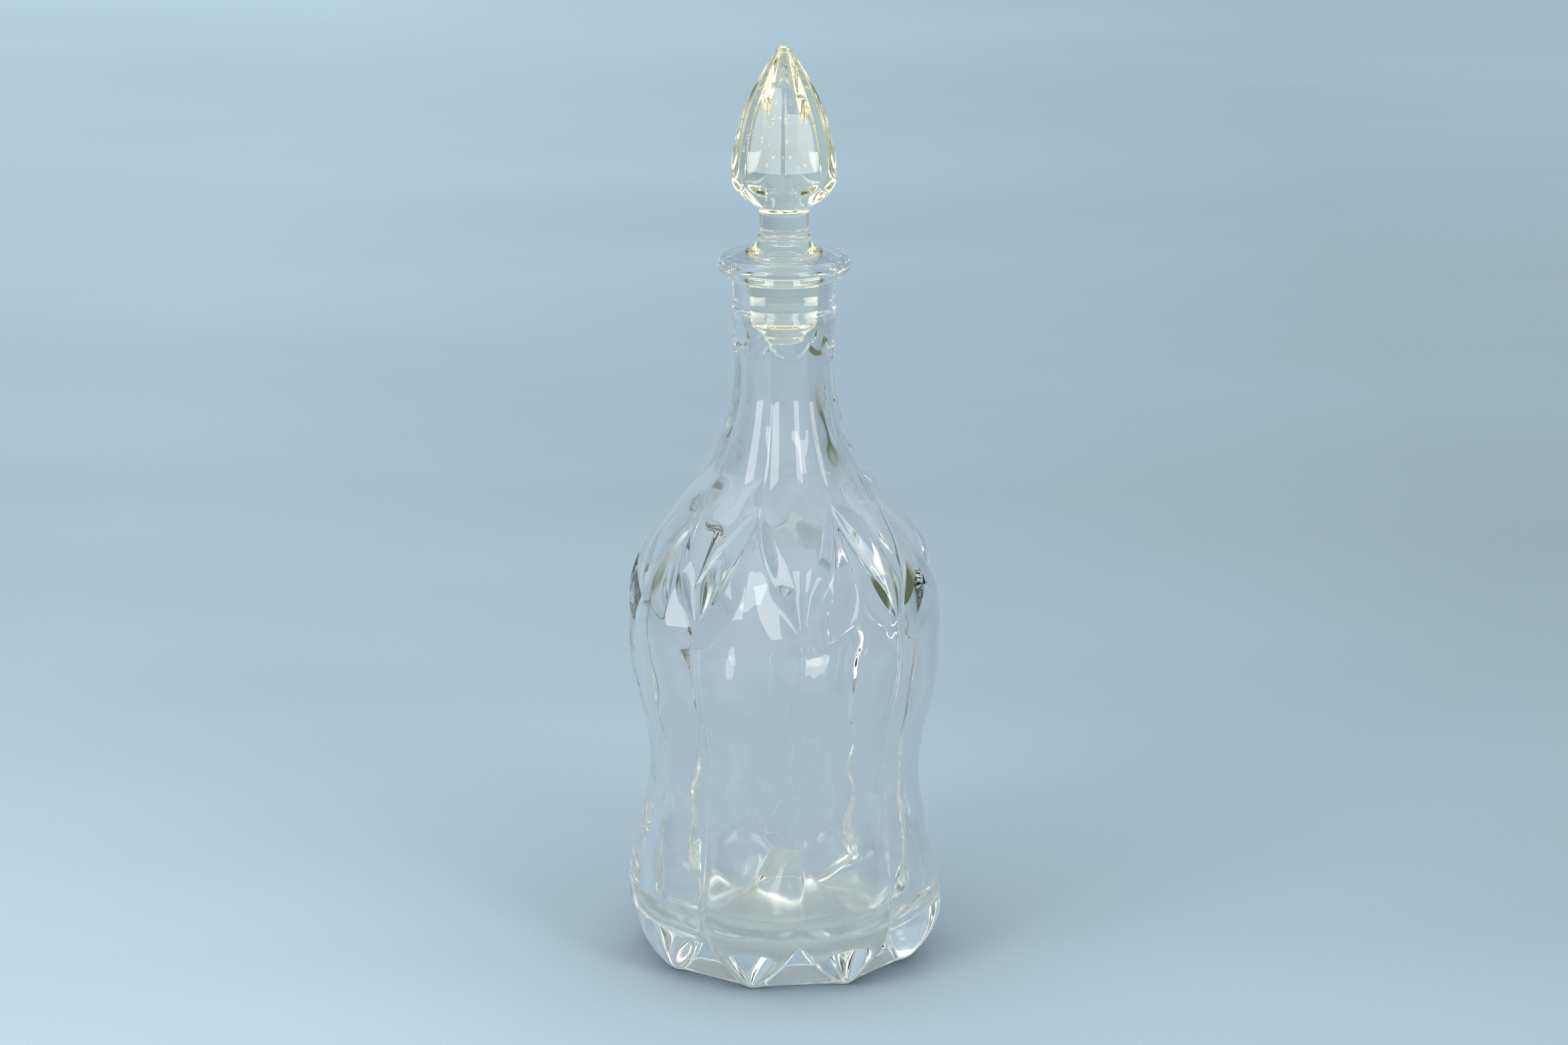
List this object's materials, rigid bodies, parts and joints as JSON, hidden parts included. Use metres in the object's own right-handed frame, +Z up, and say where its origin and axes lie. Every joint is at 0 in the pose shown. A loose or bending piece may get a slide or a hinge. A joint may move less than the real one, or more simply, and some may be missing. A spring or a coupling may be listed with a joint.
{
  "type": "glass decanter",
  "caption": "Clear moulded glass decanter with a lobed, waisted body, petalled shoulder, rolled lip and a faceted pointed stopper that lifts out.",
  "frame": {"origin": "centre of the foot, on the surface the decanter stands on", "axes": "+Z up along the bottle's axis to the stopper's point; -Y through the middle of a neck petal and the groove below it"},
  "size_m": [0.1058, 0.1058, 0.32],
  "materials": {
    "clear_glass": "fire-polished clear glass, faint grey-green tint",
    "stopper_glass": "clear pressed glass, ground plug"
  },
  "bodies": {
    "bottle": {"bottle": "clear_glass"},
    "stopper": {"stopper": "stopper_glass"}
  },
  "joints": [
    {"name": "stopper_lift", "type": "slide", "parent": "bottle", "child": "stopper", "axis": [0, 0, 1], "range_m": [0, 0.04]}
  ]
}
